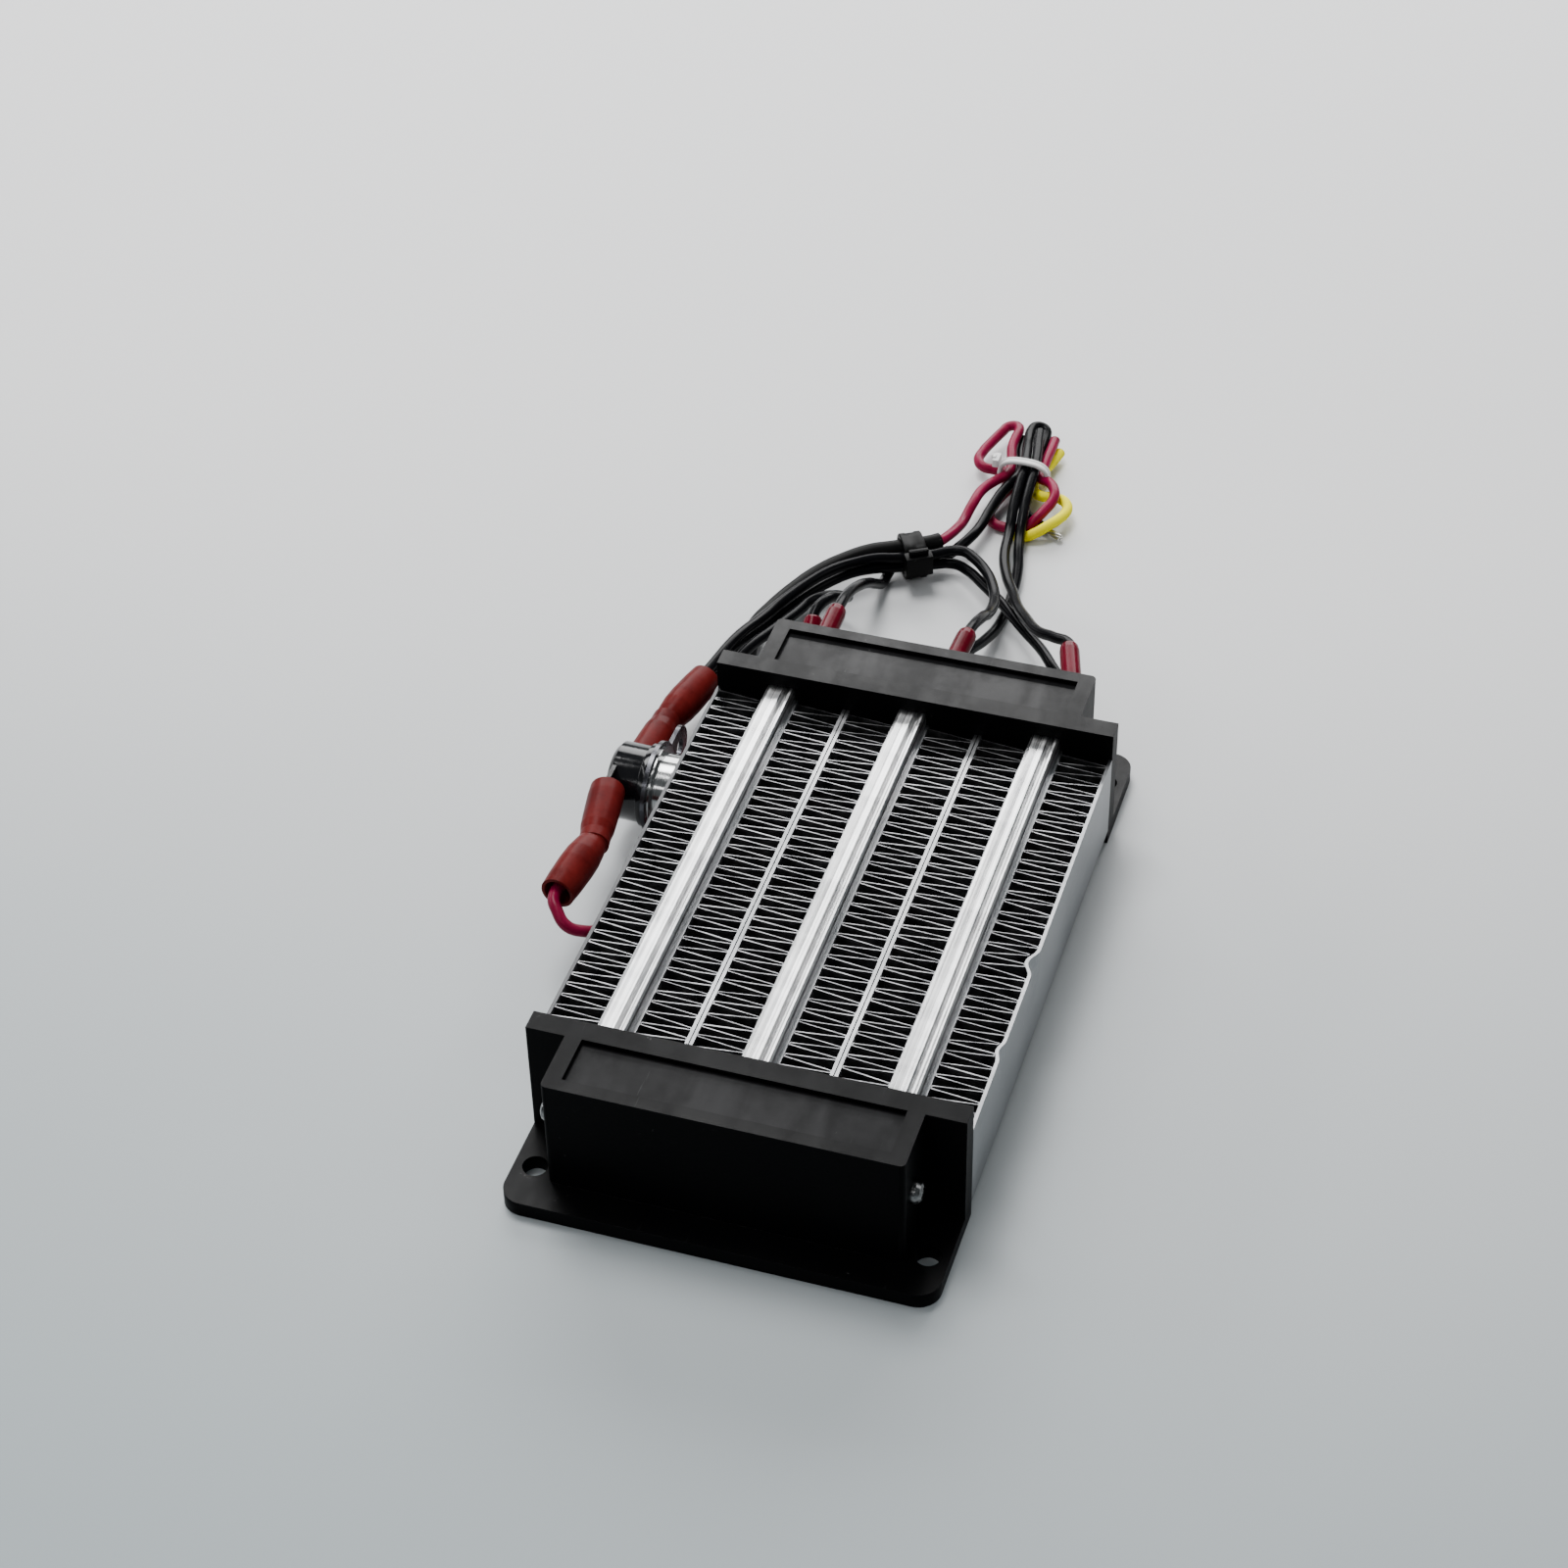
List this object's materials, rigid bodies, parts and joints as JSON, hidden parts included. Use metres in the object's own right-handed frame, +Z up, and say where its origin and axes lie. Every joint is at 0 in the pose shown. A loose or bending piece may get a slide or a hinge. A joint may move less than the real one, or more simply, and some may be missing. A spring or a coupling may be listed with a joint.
{
  "type": "ptc ceramic heater element",
  "caption": "Flat insulated ceramic air heater with folded fins between bright bars, black end caps with feet, a disc thermostat and a tied bunch of leads.",
  "frame": {"origin": "midway between the two end caps and between their sides, on the surface that their feet stand on", "axes": "+X across to the right, away from the thermostat, +Y along the bars to the end where the leads come out, +Z up from the feet"},
  "size_m": [0.091, 0.2395, 0.026],
  "materials": {
    "cap_plastic": "satin",
    "bar_metal": "brushed",
    "fin_metal": "satin",
    "plate_metal": "matte",
    "ceramic_grey": "matte",
    "film_amber": "gloss",
    "electrode_metal": "satin",
    "screw_steel": "gloss",
    "cup_metal": "gloss",
    "bracket_steel": "satin",
    "thermostat_black": "gloss",
    "tab_brass": "satin",
    "sleeve_silicone": "semi-gloss",
    "sleeve_crimson": "gloss",
    "lead_black": "satin",
    "lead_crimson": "satin",
    "tie_white": "satin"
  },
  "bodies": {
    "root": {"near_end_cap": "cap_plastic", "far_end_cap": "cap_plastic", "cap_side_screws": "screw_steel", "left_bar_tube": "bar_metal", "middle_bar_tube": "bar_metal", "right_bar_tube": "bar_metal", "left_bar_stones": "ceramic_grey", "middle_bar_stones": "ceramic_grey", "right_bar_stones": "ceramic_grey", "left_bar_film": "film_amber", "middle_bar_film": "film_amber", "right_bar_film": "film_amber", "left_bar_upper_electrode": "electrode_metal", "middle_bar_upper_electrode": "electrode_metal", "right_bar_upper_electrode": "electrode_metal", "left_bar_lower_electrode": "electrode_metal", "middle_bar_lower_electrode": "electrode_metal", "right_bar_lower_electrode": "electrode_metal", "fin_strip_1": "fin_metal", "fin_strip_2": "fin_metal", "fin_strip_3": "fin_metal", "fin_strip_4": "fin_metal", "fin_strip_5": "fin_metal", "fin_strip_6": "fin_metal", "fin_strip_1_left_plate": "plate_metal", "fin_strip_1_right_plate": "plate_metal", "fin_strip_2_left_plate": "plate_metal", "fin_strip_2_right_plate": "plate_metal", "fin_strip_3_left_plate": "plate_metal", "fin_strip_3_right_plate": "plate_metal", "fin_strip_4_left_plate": "plate_metal", "fin_strip_4_right_plate": "plate_metal", "fin_strip_5_left_plate": "plate_metal", "fin_strip_5_right_plate": "plate_metal", "fin_strip_6_left_plate": "plate_metal", "fin_strip_6_right_plate": "plate_metal", "thermostat_cup": "cup_metal", "thermostat_bracket": "bracket_steel", "thermostat_body": "thermostat_black", "thermostat_tabs": "tab_brass", "thermostat_crimps": "tab_brass", "thermostat_near_sleeve": "sleeve_silicone", "thermostat_far_sleeve": "sleeve_silicone", "left_upper_terminal_sleeve": "sleeve_crimson", "middle_upper_terminal_sleeve": "sleeve_crimson", "right_upper_terminal_sleeve": "sleeve_crimson", "left_lower_terminal_sleeve": "sleeve_crimson", "middle_lower_terminal_sleeve": "sleeve_crimson", "right_lower_terminal_sleeve": "sleeve_crimson", "left_feed_lead": "lead_black", "middle_feed_lead": "lead_black", "right_feed_lead": "lead_black", "left_return_lead": "lead_black", "middle_return_lead": "lead_black", "right_return_lead": "lead_black", "supply_lead": "lead_crimson", "supply_lead_cover": "lead_black", "lead_hank": "lead_black", "black_cable_tie": "lead_black", "white_cable_tie": "tie_white"}
  },
  "joints": []
}
